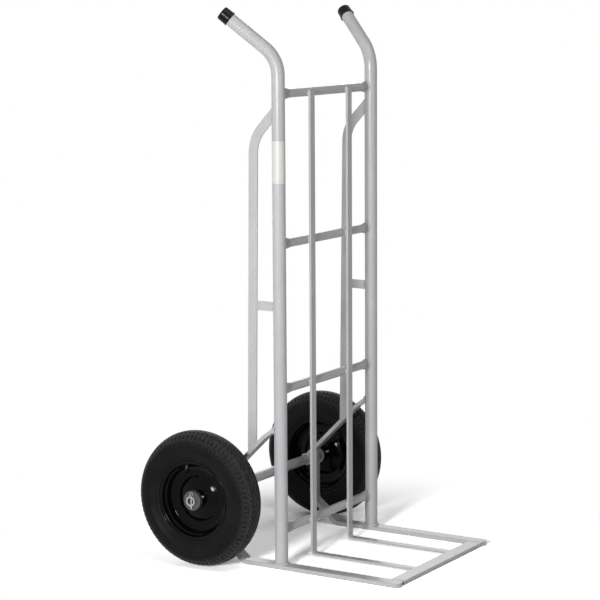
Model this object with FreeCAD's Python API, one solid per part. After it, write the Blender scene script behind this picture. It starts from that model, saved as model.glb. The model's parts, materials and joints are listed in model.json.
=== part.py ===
import FreeCAD, Part
import math
import os

from FreeCAD import Vector

# Two-wheeled steel hand truck with pneumatic tyres, in millimetres.
# +Z is up, +X is across the truck, and the toe points towards -Y, so the wheels and handles are at +Y.
# The origin lies on the floor under the middle of the truck's bounding box.

# ---- overall layout ----
upright_spacing = 442.0        # between the two uprights' centre lines
toe_reach = 334.0              # from the uprights' centre line forward to the rail tips
axle_setback = 187.6           # from the uprights' centre line back to the axle
tyre_diameter = 337.0
tyre_clearance = 13.5          # between each toe rail's side and its tyre

# ---- uprights and handles: one bent tube each side ----
upright_diameter = 32.0
upright_wall = 1.8
handle_bend_height = 1239.0    # where the upright's centre line would meet the handle's
handle_bend_radius = 85.0
handle_bend_angle = 50.5       # away from vertical
handle_splay = 28.0            # outwards from straight back, seen from above
handle_length = 172.0          # from that meeting point to the cap's end
cap_diameter = 35.0
cap_length = 27.0
cap_end_thickness = 3.0
cap_edge_radius = 4.0

# ---- crossbars: tubes pressed flat where they meet the uprights ----
crossbar_diameter = 22.0
crossbar_wall = 1.5
crossbar_setback = 2.0         # behind the uprights' centre line
crossbar_heights = {
    "crossbar_bottom": 94.0,
    "crossbar_lower": 442.0,
    "crossbar_upper": 796.0,
    "crossbar_top": 1155.0,
}
crossbar_flare_length = 42.0
crossbar_end_height = 30.0
crossbar_end_depth = 10.0
crossbar_end_inset = 0.65      # share of the upright's radius at which the uncoped end stops
crossbar_flare_steps = (       # share of the flare's length, share of the change in shape
    (0.0, 0.0),
    (0.35, 0.2),
    (0.75, 0.85),
    (1.0, 1.0),
)

# ---- load bars: flat bars down the front that turn forward under the load ----
load_bar_spacing = 178.0
load_bar_width = 21.0
load_bar_thickness = 6.0
load_bar_bend_radius = 12.0    # on the outside of the bend
load_bar_top_rise = 4.0        # above the top crossbar's centre line

# ---- toe rails, from the tips back under the uprights and up to the axle ----
rail_width = 35.0
rail_thickness = 11.0
rail_edge_radius = 2.5
rail_tip_radius = 17.0
rail_rise_start = 101.0        # behind the uprights' centre line, where the rail turns up
rail_rise_angle = 38.0
rail_bend_radius = 24.0
post_setback = 171.8           # behind the uprights' centre line, the rail's upright stretch

# ---- toe blade, between the rails at the front, level with their tops ----
blade_depth = 35.0
blade_thickness = 8.0
blade_front_setback = 2.5      # behind the rail tips

# ---- braces from the axle up to the uprights ----
brace_width = 31.0
brace_thickness = 10.0
brace_edge_radius = 2.5
brace_angle = 44.7             # above horizontal
brace_axle_offset = 7.8        # brace centre line above the axle's centre, square to the brace
brace_knee_setback = 42.0      # where the brace flattens, behind the uprights' centre line
brace_knee_radius = 90.0
brace_end_angle = 36.0
brace_end_setback = 10.0       # the square end, behind the uprights' centre line

# ---- skid bars behind the uprights, and their struts ----
skid_width = 25.0
skid_thickness = 4.0
skid_top_height = 1106.0       # centre line at the upright
skid_top_angle = 47.0
skid_setback = 82.0            # centre line at the brace, behind the uprights' centre line
skid_lean = 0.83               # degrees, top leaning forward
skid_bend_radius = 88.0
strut_height = 645.0
strut_width = 23.0
strut_thickness = 4.0

# ---- axle and what holds the wheels on it ----
axle_diameter = 25.0
axle_bore = 17.0
axle_overhang = 6.5            # beyond the outer washer
outer_washer_diameter = 49.0
inner_washer_diameter = 40.0
washer_thickness = 3.0
washer_bevel = 0.8
spacer_wall = 3.5
pin_diameter = 4.0
pin_head_radius = 4.0          # of the split pin's loop
pin_leg_drop = 7.0

# ---- wheels, the same on both sides ----
tyre_width = 88.0
tyre_crown_drop = 12.0         # from the middle of the tread to its edge
tyre_tread_width = 62.0
tyre_wall = 7.0
tyre_bead_width = 11.0
tyre_widest_radius = 126.0     # where the sidewall is widest
bead_diameter = 186.0          # where the tyre sits on the rim
rim_diameter = 200.0           # over the rim's flanges
rim_width = 68.0
rim_sheet = 2.5
rim_seat_width = 24.0
rim_well_diameter = 156.0
rim_disc_diameter = 114.0      # flat middle, where the two halves lie together
hub_diameter = 42.0
hub_half_length = 33.0
bearing_diameter = 37.0
bearing_width = 9.0
bearing_shoulder = 2.5
shield_recess = 0.8
race_width = 2.0
tube_radius = 30.0             # of the inner tube's round section
tube_wall = 2.0
stem_diameter = 8.0
stem_setout = 17.0             # valve hole from the wheel's middle plane
stem_reach = 22.0              # inside the rim
stem_angle = 17.0              # behind straight up
stem_lean = 25.0               # outwards from the wheel's middle plane
valve_cap_diameter = 9.0
valve_cap_length = 9.0
nipple_diameter = 6.0
nipple_height = 8.0
nipple_setout = 22.0           # from the wheel's middle plane
nipple_angle = -66.0           # from straight up, towards the front

# ---- label on the left upright, blank ----
label_height = 101.0
label_centre_height = 994.0
label_thickness = 0.3
label_wrap = 200.0             # degrees round the tube
label_facing = 238.0           # degrees, the middle of the wrap, from +X towards +Y

# ---- clearances ----
running_fit = 0.05             # radial, bearings on the axle
washer_gap = 0.3               # between a washer and a turning hub end

# ---- worked out from the above ----
tyre_radius = tyre_diameter / 2
rear_reach = axle_setback + tyre_radius
upright_y = (toe_reach - rear_reach) / 2
axle_y = upright_y + axle_setback
axle_z = tyre_radius
upright_radius = upright_diameter / 2
upright_x = upright_spacing / 2
SIDES = {"left": -1, "right": 1}
X_AXIS = Vector(1, 0, 0)
Z_AXIS = Vector(0, 0, 1)


def cylinder_x(radius, x_from, x_to, y=0.0, z=0.0):
    """Solid cylinder along X between two stations."""
    start = min(x_from, x_to)
    return Part.makeCylinder(radius, abs(x_to - x_from), Vector(start, y, z), X_AXIS)


def side_path(points, radii):
    """Wire in a YZ plane at x = 0 through (y, z) points, each inner corner rounded by its radius."""
    corners = [Vector(0, y, z) for y, z in points]
    edges = []
    start = corners[0]
    for before, corner, after, radius in zip(corners, corners[1:], corners[2:], radii):
        into = (corner - before).normalize()
        out = (after - corner).normalize()
        turn = into.getAngle(out)
        tangent = radius * math.tan(turn / 2)
        first = corner - into * tangent
        last = corner + out * tangent
        sagitta = radius / math.cos(turn / 2) - radius
        middle = corner + (out - into).normalize() * sagitta
        edges.append(Part.LineSegment(start, first).toShape())
        edges.append(Part.Arc(first, middle, last).toShape())
        start = last
    edges.append(Part.LineSegment(start, corners[-1]).toShape())
    return Part.Wire(edges)


def sweep(path, profile):
    """Solid made by a closed profile wire carried along the path."""
    shell = Part.BRepOffsetAPI.MakePipeShell(path)
    shell.setTransitionMode(0)
    shell.add(profile)
    shell.build()
    shell.makeSolid()
    return shell.shape()


def path_start(path):
    """Start point and direction of a path."""
    edge = path.OrderedEdges[0]
    return edge.valueAt(edge.FirstParameter), edge.tangentAt(edge.FirstParameter)


def bent_round(path, radius):
    """Round bar along a path."""
    start, direction = path_start(path)
    return sweep(path, Part.Wire(Part.makeCircle(radius, start, direction)))


def rounded_rectangle(centre, across, up, width, height, radius):
    """Closed wire of a rectangle with rounded corners, centred on a point."""
    half_w = width / 2
    half_h = height / 2
    flat_w = half_w - radius
    flat_h = half_h - radius
    bulge = radius * math.sqrt(0.5)

    def at(a, b):
        return centre + across * a + up * b

    edges = []
    for sx, sy in ((1, 1), (-1, 1), (-1, -1), (1, -1)):
        side = at(sx * half_w, sy * flat_h)
        corner = at(sx * (flat_w + bulge), sy * (flat_h + bulge))
        top = at(sx * flat_w, sy * half_h)
        ends = (side, top) if sx * sy > 0 else (top, side)
        edges.append(Part.Arc(ends[0], corner, ends[1]).toShape())
    edges.append(Part.LineSegment(at(flat_w, half_h), at(-flat_w, half_h)).toShape())
    edges.append(Part.LineSegment(at(-half_w, flat_h), at(-half_w, -flat_h)).toShape())
    edges.append(Part.LineSegment(at(-flat_w, -half_h), at(flat_w, -half_h)).toShape())
    edges.append(Part.LineSegment(at(half_w, -flat_h), at(half_w, flat_h)).toShape())
    return Part.Wire(Part.__sortEdges__(edges))


def bent_flat(path, width, thickness, radius):
    """Flat bar along a path in a YZ plane, its width along X."""
    start, direction = path_start(path)
    square = X_AXIS.cross(direction)
    return sweep(path, rounded_rectangle(start, X_AXIS, square, width, thickness, radius))


def revolve_x(edges):
    """Solid of revolution about the X axis from the edges of a closed outline in the XZ plane."""
    face = Part.Face(Part.Wire(edges))
    return face.revolve(Vector(0, 0, 0), X_AXIS, 360)


def line(start, end):
    """Straight edge between two (x, radius) points."""
    return Part.LineSegment(Vector(start[0], 0, start[1]), Vector(end[0], 0, end[1])).toShape()


def arc(start, middle, end):
    """Round edge through three (x, radius) points."""
    return Part.Arc(*[Vector(x, 0, r) for x, r in (start, middle, end)]).toShape()


def polyline(points):
    """Straight edges joining (x, radius) points."""
    return [line(a, b) for a, b in zip(points, points[1:])]


def placed(shape, x=0.0, y=0.0, z=0.0):
    """Copy of a shape moved to a place."""
    copy = shape.copy()
    copy.translate(Vector(x, y, z))
    return copy


def mirrored(shape, side):
    """The shape as made, for the right side, or its mirror image for the left."""
    return shape if side > 0 else shape.mirror(Vector(0, 0, 0), X_AXIS)


def largest(shape):
    """The biggest solid of a cut shape, without its offcuts."""
    return max(shape.Solids, key=lambda solid: solid.Volume)


# ---- frame ----

handle_turn = math.radians(handle_bend_angle)
handle_direction = (math.sin(handle_turn), math.cos(handle_turn))


def handle_point(distance):
    """(y, z) on the handle's centre line, a distance beyond the bend's corner."""
    y = upright_y + handle_direction[0] * distance
    z = handle_bend_height + handle_direction[1] * distance
    return y, z


def splayed(shape):
    """A shape made straight back, turned outwards with the handle about the upright's centre line."""
    copy = shape.copy()
    copy.rotate(Vector(0, upright_y, 0), Z_AXIS, -handle_splay)
    return copy


def make_upright():
    """Tube from the rail's top up to the handle's end."""
    tube_end = handle_length - cap_end_thickness
    bottom = (upright_y, rail_thickness)
    corner = (upright_y, handle_bend_height)
    path = side_path([bottom, corner, handle_point(tube_end)], [handle_bend_radius])
    outer = bent_round(path, upright_radius)
    inner = bent_round(path, upright_radius - upright_wall)
    return splayed(outer.cut(inner))


def make_handle_cap():
    """Plastic cup over the handle's end."""
    tip_y, tip_z = handle_point(handle_length)
    direction = Vector(0, handle_direction[0], handle_direction[1])
    mouth = Vector(0, tip_y, tip_z) - direction * cap_length
    body = Part.makeCylinder(cap_diameter / 2, cap_length, mouth, direction)
    tip_edges = [e for e in body.Edges if isinstance(e.Curve, Part.Circle) and
                 (e.Curve.Center - mouth).Length > cap_length / 2]
    body = body.makeFillet(cap_edge_radius, tip_edges)
    socket_depth = cap_length - cap_end_thickness
    socket = Part.makeCylinder(upright_radius, socket_depth, mouth, direction)
    return splayed(body.cut(socket))


def oval_wire(x, height, depth):
    """Oval across the crossbar at one station, as tall and as deep as given."""
    middle = Vector(x, 0, 0)
    oval = Part.Ellipse(Vector(x, 0, height / 2), Vector(x, depth / 2, 0), middle)
    return Part.Wire(oval.toShape())


def crossbar_body(inset):
    """Round tube's outer or inner surface, with both ends pressed into tall ovals."""
    round_size = crossbar_diameter - 2 * inset
    taller = crossbar_end_height - crossbar_diameter
    shallower = crossbar_end_depth - crossbar_diameter
    flare_start = upright_x - upright_radius - crossbar_flare_length
    body = Part.makeLoft([oval_wire(x, round_size, round_size) for x in (-flare_start, flare_start)], True, True)
    for side in (-1, 1):
        ovals = []
        for share, ease in crossbar_flare_steps:
            x = side * (flare_start + crossbar_flare_length * share)
            ovals.append(oval_wire(x, round_size + taller * ease, round_size + shallower * ease))
        end_x = side * (upright_x - upright_radius * crossbar_end_inset)
        ovals.append(oval_wire(end_x, round_size + taller, round_size + shallower))
        body = body.fuse(Part.makeLoft(ovals, True, False))
    return body


def make_crossbar(height):
    """One crossbar, coped round both uprights."""
    bar = crossbar_body(0).cut(crossbar_body(crossbar_wall))
    bar = placed(bar, 0, upright_y + crossbar_setback, height)
    for side in (-1, 1):
        upright = Part.makeCylinder(upright_radius, handle_bend_height, Vector(side * upright_x, upright_y, 0))
        bar = bar.cut(upright)
    return largest(bar)


def make_load_bar():
    """Flat bar down the crossbars' fronts, turned forward to butt against the toe blade."""
    half = load_bar_thickness / 2
    front = crossbar_front - half
    top = crossbar_heights["crossbar_top"] + load_bar_top_rise
    level = rail_thickness - half
    end = blade_rear
    centre_radius = load_bar_bend_radius - half
    path = side_path([(front, top), (front, level), (end, level)], [centre_radius])
    return bent_flat(path, load_bar_width, load_bar_thickness, 0.8)


crossbar_front = upright_y + crossbar_setback - crossbar_diameter / 2
rail_tip = upright_y - toe_reach
blade_front = rail_tip + blade_front_setback
blade_rear = blade_front + blade_depth
rail_level = rail_thickness / 2
post_y = upright_y + post_setback


def brace_line(y):
    """Height of the brace's centre line at y."""
    slope = math.radians(brace_angle)
    at_axle = axle_z + brace_axle_offset / math.cos(slope)
    return at_axle + (axle_y - y) * math.tan(slope)


def brace_path():
    """Centre line of a brace, from over the axle to inside the upright."""
    knee_y = upright_y + brace_knee_setback
    knee_z = brace_line(knee_y)
    flat = math.radians(brace_end_angle)
    end_z = knee_z + brace_knee_setback * math.tan(flat)
    start_y = axle_y + axle_diameter / 4
    points = [(start_y, brace_line(start_y)), (knee_y, knee_z), (upright_y, end_z)]
    return side_path(points, [brace_knee_radius])


def axle_solid():
    """The axle's outside as a solid bar, for cutting pieces that are shaped to it."""
    return cylinder_x(axle_diameter / 2, -upright_spacing, upright_spacing, axle_y, axle_z)


def upright_core():
    """The straight part of one upright as a solid bar at x = 0, for cutting."""
    return Part.makeCylinder(upright_radius, handle_bend_height, Vector(0, upright_y, 0))


def make_brace():
    """Flat bar from the axle up to the upright, shaped to both."""
    bar = bent_flat(brace_path(), brace_width, brace_thickness, brace_edge_radius)
    in_front = Part.makeBox(brace_width * 2, brace_knee_setback * 2, handle_bend_height)
    edge = upright_y + brace_end_setback
    in_front.translate(Vector(-brace_width, edge - brace_knee_setback * 2, 0))
    bar = bar.cut(upright_core()).cut(axle_solid()).cut(in_front)
    return largest(bar)


def make_toe_rail():
    """Flat bar on the floor from tip to tail, turned up to stand in front of the axle."""
    rise = math.radians(rail_rise_angle)
    rise_y = upright_y + rail_rise_start
    knee_z = rail_level + (post_y - rise_y) * math.tan(rise)
    top = brace_line(post_y)
    points = [(rail_tip, rail_level), (rise_y, rail_level), (post_y, knee_z), (post_y, top)]
    bar = bent_flat(side_path(points, [rail_bend_radius] * 2), rail_width, rail_thickness, rail_edge_radius)
    bar = bar.cut(axle_solid())
    bar = bar.cut(bent_flat(brace_path(), rail_width * 2, brace_thickness, 0.5))
    bar = largest(bar)
    return bar.cut(tip_cutter())


def tip_cutter():
    """What is removed from a rail's square end to leave its corners round in plan."""
    half = rail_width / 2
    radius = rail_tip_radius
    tall = rail_thickness * 2
    block = Part.makeBox(rail_width + 4, radius + 2, tall, Vector(-half - 2, rail_tip - 2, -rail_level))
    keep = Part.makeBox(rail_width - 2 * radius, radius + 4, tall, Vector(-half + radius, rail_tip, -rail_level))
    for side in (-1, 1):
        centre = Vector(side * (half - radius), rail_tip + radius, -rail_level)
        keep = keep.fuse(Part.makeCylinder(radius, tall, centre))
    return block.cut(keep)


def make_blade():
    """Flat bar across the front, between the rails and level with their tops."""
    span = upright_spacing - rail_width
    corner = Vector(-span / 2, blade_front, rail_thickness - blade_thickness)
    return Part.makeBox(span, blade_depth, blade_thickness, corner)


def flat_in_side_plane(path, width, thickness):
    """Flat bar standing in the side plane, its thickness along X."""
    start, direction = path_start(path)
    square = X_AXIS.cross(direction)
    return sweep(path, rounded_rectangle(start, X_AXIS, square, thickness, width, 0.8))


def skid_line(z):
    """y of the skid bar's centre line at a height."""
    foot_z = brace_line(upright_y + skid_setback)
    return upright_y + skid_setback - (z - foot_z) * math.tan(math.radians(skid_lean))


def make_skid_bar():
    """Flat bar that curves from the upright down to the brace, for sliding over steps."""
    slope = math.tan(math.radians(skid_top_angle))
    knee_z = skid_top_height
    for _ in range(20):
        knee_z = skid_top_height - (skid_line(knee_z) - upright_y - upright_radius) * slope
    start_z = skid_top_height + upright_radius * slope
    foot_z = brace_line(upright_y + skid_setback)
    points = [(upright_y, start_z), (skid_line(knee_z), knee_z), (skid_line(foot_z), foot_z)]
    bar = flat_in_side_plane(side_path(points, [skid_bend_radius]), skid_width, skid_thickness)
    bar = bar.cut(upright_core())
    bar = bar.cut(bent_flat(brace_path(), brace_width, brace_thickness, brace_edge_radius))
    return largest(bar)


def make_skid_strut():
    """Short flat bar that holds the skid bar off the upright."""
    end = skid_line(strut_height) - skid_width / 2
    path = side_path([(upright_y, strut_height), (end, strut_height)], [])
    bar = flat_in_side_plane(path, strut_width, strut_thickness)
    bar = bar.cut(upright_core())
    trim_points = [(skid_line(strut_height - skid_width), strut_height - skid_width),
                   (skid_line(strut_height + skid_width), strut_height + skid_width)]
    bar = bar.cut(flat_in_side_plane(side_path(trim_points, []), skid_width, skid_thickness * 2))
    return largest(bar)


# ---- axle group ----

wheel_x = upright_x + rail_width / 2 + tyre_clearance + tyre_width / 2
outer_washer_x = wheel_x + hub_half_length + washer_gap
inner_washer_x = wheel_x - hub_half_length - washer_gap - washer_thickness
axle_end_x = outer_washer_x + washer_thickness + axle_overhang
pin_x = outer_washer_x + washer_thickness + pin_diameter / 2
axle_radius = axle_diameter / 2


def make_axle():
    """Tube right across the truck, drilled at both ends for the split pins."""
    tube = cylinder_x(axle_radius, -axle_end_x, axle_end_x)
    tube = tube.cut(cylinder_x(axle_bore / 2, -axle_end_x - 1, axle_end_x + 1))
    for side in (-1, 1):
        foot = Vector(side * pin_x, 0, -axle_diameter)
        tube = tube.cut(Part.makeCylinder(pin_diameter / 2, 2 * axle_diameter, foot))
    return placed(tube, 0, axle_y, axle_z)


def ring_x(outer_radius, inner_radius, x_from, x_to):
    """Plain ring about the X axis."""
    return cylinder_x(outer_radius, x_from, x_to).cut(cylinder_x(inner_radius, x_from - 1, x_to + 1))


def make_outer_washer():
    """Bevelled washer between the hub and the split pin."""
    start = outer_washer_x
    end = start + washer_thickness
    radius = outer_washer_diameter / 2
    points = [(start, axle_radius), (start, radius), (end - washer_bevel, radius),
              (end, radius - washer_bevel), (end, axle_radius), (start, axle_radius)]
    return placed(revolve_x(polyline(points)), 0, axle_y, axle_z)


def make_inner_washer():
    """Washer between the hub and the spacer."""
    end = inner_washer_x + washer_thickness
    ring = ring_x(inner_washer_diameter / 2, axle_radius, inner_washer_x, end)
    return placed(ring, 0, axle_y, axle_z)


def make_spacer():
    """Sleeve on the axle between the rail and the inner washer."""
    start = upright_x + rail_width / 2
    ring = ring_x(axle_radius + spacer_wall, axle_radius, start, inner_washer_x)
    return placed(ring, 0, axle_y, axle_z)


def make_split_pin():
    """Split pin down through the axle, with a loop for its head."""
    leg_length = axle_diameter + pin_leg_drop
    leg = Part.makeCylinder(pin_diameter / 2, leg_length, Vector(0, 0, axle_radius - leg_length))
    wire_radius = pin_diameter / 4
    centre = Vector(0, 0, axle_radius + pin_head_radius)
    loop = Part.makeTorus(pin_head_radius, wire_radius, centre, X_AXIS)
    return placed(leg.fuse(loop), pin_x, axle_y, axle_z)


# ---- wheel, with its middle plane at x = 0 and its axis on the X axis ----

tyre_half = tyre_width / 2
tread_half = tyre_tread_width / 2
tread_edge_radius = tyre_radius - tyre_crown_drop
bead_radius = bead_diameter / 2
rim_half = rim_width / 2
rim_radius = rim_diameter / 2
well_radius = rim_well_diameter / 2
seat_surface = bead_radius - rim_sheet


def tyre_side(inset):
    """Half the tyre's outline, moved inwards by the inset: its edges, crown point and foot point."""
    crown = (0.0, tyre_radius - inset)
    tread_middle = (tread_half * 0.6, tyre_radius - tyre_crown_drop * 0.34 - inset)
    tread_edge = (tread_half - inset * 0.5, tread_edge_radius - inset * 0.85)
    rise = tread_edge_radius - tyre_widest_radius
    shoulder = (tyre_half - inset - (tyre_half - tread_half) * 0.26, tyre_widest_radius + (rise - inset) * 0.6)
    widest = (tyre_half - inset, tyre_widest_radius)
    foot = (rim_half + 1 - inset, rim_radius + 3)
    flank = (tyre_half - inset - 2.8, (tyre_widest_radius + foot[1]) / 2)
    edges = [arc(crown, tread_middle, tread_edge), arc(tread_edge, shoulder, widest), arc(widest, flank, foot)]
    return edges, crown, foot


def make_tyre():
    """Hollow tyre whose beads sit on the rim."""
    outer, outer_crown, outer_foot = tyre_side(0)
    inner, inner_crown, inner_foot = tyre_side(tyre_wall)
    flange_face = rim_half - rim_sheet
    toe = flange_face - tyre_bead_width
    bead = [outer_foot, (flange_face, rim_radius + 3), (flange_face, bead_radius), (toe, bead_radius),
            (toe, bead_radius + 6), inner_foot]
    edges = outer + polyline(bead) + inner + [line(inner_crown, outer_crown)]
    half = revolve_x(Part.__sortEdges__(edges))
    return half.fuse(half.mirror(Vector(0, 0, 0), X_AXIS)).removeSplitter()


def make_inner_tube():
    """Rubber tube inside the tyre, with its own wall."""
    outer = Part.makeTorus(tube_centre, tube_radius, Vector(0, 0, 0), X_AXIS)
    return outer.cut(Part.makeTorus(tube_centre, tube_radius - tube_wall, Vector(0, 0, 0), X_AXIS))


def sheet_section(points, thickness):
    """Closed outline of bent sheet: the points and their mitred offset to the right of travel."""
    vectors = [Vector(x, 0, r) for x, r in points]
    normals = []
    for a, b in zip(vectors, vectors[1:]):
        along = (b - a).normalize()
        normals.append(Vector(along.z, 0, -along.x))
    offset = [vectors[0] + normals[0] * thickness]
    for before, corner, after in zip(normals, vectors[1:], normals[1:]):
        middle = (before + after).normalize()
        offset.append(corner + middle * (thickness / middle.dot(before)))
    offset.append(vectors[-1] + normals[-1] * thickness)
    outline = vectors + offset[::-1]
    return Part.makePolygon(outline + outline[:1]).Edges


def make_rim_half():
    """One pressed half of the rim, flange towards +X, whose disc lies against x = 0."""
    seat_end = rim_half - rim_seat_width
    face = [
        (rim_half, rim_radius),
        (rim_half, seat_surface),
        (seat_end, seat_surface),
        (seat_end - rim_sheet, well_radius),
        (rim_sheet, rim_disc_diameter / 2),
        (rim_sheet, hub_diameter / 2),
    ]
    return revolve_x(sheet_section(face[::-1], -rim_sheet))


def make_hub():
    """Hub tube, bored for a bearing at each end."""
    bore = bearing_diameter / 2
    hub = ring_x(hub_diameter / 2, bore - bearing_shoulder, -hub_half_length, hub_half_length)
    for side in (-1, 1):
        seat_start = side * (hub_half_length - bearing_width)
        hub = hub.cut(cylinder_x(bore, seat_start, side * (hub_half_length + 1)))
    return hub


def make_bearing():
    """Ball bearing at the hub's +X end, as a ring with sunken shields."""
    bore = axle_radius + running_fit
    end = hub_half_length
    start = end - bearing_width
    ring = ring_x(bearing_diameter / 2, bore, start, end)
    for shield in (start - 1, end - shield_recess):
        groove = ring_x(bearing_diameter / 2 - race_width, bore + race_width, shield, shield + 1 + shield_recess)
        ring = ring.cut(groove)
    return ring


def radial(shape, x, radius, angle):
    """A shape made upright on the origin, set at a radius and turned about the X axis."""
    copy = placed(shape, x, 0, radius)
    copy.rotate(Vector(0, 0, 0), X_AXIS, -angle)
    return copy


tube_centre = (tyre_radius - tyre_wall + bead_radius) / 2


def stem_solid(radius, low, high):
    """Cylinder on the valve's line, between two distances outwards from the rim's inner face."""
    stem = Part.makeCylinder(radius, high - low, Vector(0, 0, low))
    stem.rotate(Vector(0, 0, 0), Vector(0, 1, 0), stem_lean)
    return radial(stem, -stem_setout, seat_surface, stem_angle)


def make_valve_stem():
    """Valve stem from the inner tube through the rim."""
    stem = stem_solid(stem_diameter / 2, -stem_reach, tube_centre - seat_surface)
    return largest(stem.cut(Part.makeTorus(tube_centre, tube_radius, Vector(0, 0, 0), X_AXIS)))


def make_valve_cap():
    """Cap screwed over the valve stem's end."""
    cap = stem_solid(valve_cap_diameter / 2, -stem_reach - 1.5, valve_cap_length - stem_reach - 1.5)
    return cap.cut(stem_solid(stem_diameter / 2, -stem_reach, 0))


def make_nipple():
    """Grease nipple screwed into the hub."""
    outline = [
        (0, -bearing_shoulder),
        (nipple_diameter * 0.35, -bearing_shoulder),
        (nipple_diameter * 0.35, 0),
        (nipple_diameter * 0.5, 0),
        (nipple_diameter * 0.5, nipple_height * 0.45),
        (nipple_diameter * 0.3, nipple_height * 0.55),
        (nipple_diameter * 0.3, nipple_height * 0.65),
        (nipple_diameter * 0.4, nipple_height * 0.8),
        (nipple_diameter * 0.2, nipple_height),
        (0, nipple_height),
    ]
    corners = [Vector(x, 0, z) for x, z in outline]
    face = Part.Face(Part.makePolygon(corners + corners[:1]))
    nipple = face.revolve(Vector(0, 0, 0), Z_AXIS, 360)
    return radial(nipple, -nipple_setout, hub_diameter / 2, nipple_angle)


def make_label():
    """Blank label wrapped part of the way round the left upright."""
    inner = upright_radius
    foot = Vector(-upright_x, upright_y, label_centre_height - label_height / 2)
    outer = Part.makeCylinder(inner + label_thickness, label_height, foot, Z_AXIS, label_wrap)
    sleeve = outer.cut(Part.makeCylinder(inner, label_height, foot))
    sleeve.rotate(foot, Z_AXIS, label_facing - label_wrap / 2)
    return sleeve


# ---- write every node ----

def frame_nodes():
    """Named solids of the frame, which the wheels turn on."""
    nodes = {}
    paired = {
        "upright": placed(make_upright(), upright_x),
        "handle_cap": placed(make_handle_cap(), upright_x),
        "load_bar": placed(make_load_bar(), load_bar_spacing / 2),
        "toe_rail": placed(make_toe_rail(), upright_x),
        "brace": placed(make_brace(), upright_x),
        "skid_bar": placed(make_skid_bar(), upright_x),
        "skid_strut": placed(make_skid_strut(), upright_x),
        "axle_spacer": make_spacer(),
        "inner_washer": make_inner_washer(),
        "outer_washer": make_outer_washer(),
        "split_pin": make_split_pin(),
    }
    for name, shape in paired.items():
        for side_name, side in SIDES.items():
            nodes[f"{name}_{side_name}"] = mirrored(shape, side)
    for name, height in crossbar_heights.items():
        nodes[name] = make_crossbar(height)
    nodes["toe_blade"] = make_blade()
    nodes["axle"] = make_axle()
    nodes["label"] = make_label()
    return nodes


def wheel_nodes():
    """Named solids of one wheel about the X axis."""
    rim = make_rim_half()
    hub = make_hub()
    bearing = make_bearing()
    stem = make_valve_stem()
    stem_hole = stem_solid(stem_diameter / 2, -stem_reach, stem_reach)
    nipple = make_nipple()
    return {
        "tyre": make_tyre(),
        "inner_tube": make_inner_tube(),
        "rim_half_a": rim.mirror(Vector(0, 0, 0), X_AXIS).cut(stem_hole),
        "rim_half_b": rim,
        "hub": hub.cut(nipple),
        "bearing_a": bearing.mirror(Vector(0, 0, 0), X_AXIS),
        "bearing_b": bearing,
        "valve_stem": stem,
        "valve_cap": make_valve_cap(),
        "grease_nipple": nipple,
    }


def main():
    """Write one STEP file for every node."""
    os.makedirs("parts", exist_ok=True)
    nodes = frame_nodes()
    wheel = wheel_nodes()
    for side_name, side in SIDES.items():
        for name, shape in wheel.items():
            nodes[f"{name}_{side_name}"] = placed(shape, side * wheel_x, axle_y, axle_z)
    for name, shape in nodes.items():
        if not shape.isValid():
            raise ValueError(f"{name} is not a valid shape")
        shape.exportStep(f"parts/{name}.step")


main()
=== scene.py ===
"""Hand truck: the finished pieces of a welded steel truck on two pneumatic wheels.

Laid out as an add-on. One operator makes each group of like pieces around the steel frame, and
main() runs them in order. Sizes are in metres unless a name says millimetres. +Z is up, +X runs
along the axle, and the toe points towards -Y.
"""
import json
import math

import bmesh
import bpy
from bpy.props import FloatProperty, IntProperty, PointerProperty, StringProperty
from mathutils import Matrix, Vector


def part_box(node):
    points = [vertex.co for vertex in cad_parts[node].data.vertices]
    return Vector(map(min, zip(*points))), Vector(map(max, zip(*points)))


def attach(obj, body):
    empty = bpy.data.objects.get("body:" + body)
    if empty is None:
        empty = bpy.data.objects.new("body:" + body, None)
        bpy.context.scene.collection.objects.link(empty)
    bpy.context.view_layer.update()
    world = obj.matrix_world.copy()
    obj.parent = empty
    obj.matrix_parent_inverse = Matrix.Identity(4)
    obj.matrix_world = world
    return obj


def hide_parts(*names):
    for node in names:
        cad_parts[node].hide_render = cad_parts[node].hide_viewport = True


bl_info = {
    "name": "Hand Truck",
    "version": (1, 0, 0),
    "blender": (4, 5, 0),
    "location": "3D View > Sidebar > Hand Truck",
    "description": "Finishes a steel hand truck: tyres, rims, caps, weld beads and paint",
    "category": "Add Mesh",
}

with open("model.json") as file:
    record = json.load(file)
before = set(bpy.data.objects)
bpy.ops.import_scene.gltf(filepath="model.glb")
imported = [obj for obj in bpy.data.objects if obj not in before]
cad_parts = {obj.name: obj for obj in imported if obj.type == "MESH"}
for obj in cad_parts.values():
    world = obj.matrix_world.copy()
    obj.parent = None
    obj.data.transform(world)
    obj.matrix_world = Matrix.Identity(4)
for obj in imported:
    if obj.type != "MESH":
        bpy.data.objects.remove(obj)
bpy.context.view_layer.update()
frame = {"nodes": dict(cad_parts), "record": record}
NODES = frame["nodes"]

SIDES = {"left": -1, "right": 1}
FRAME_BODY = "frame"
X_AXIS = Vector((1, 0, 0))
Z_AXIS = Vector((0, 0, 1))


def middle(node):
    """Middle of a frame node's box."""
    low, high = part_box(node)
    return (low + high) / 2


# ---- sizes and colours that a user would change ----

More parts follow.
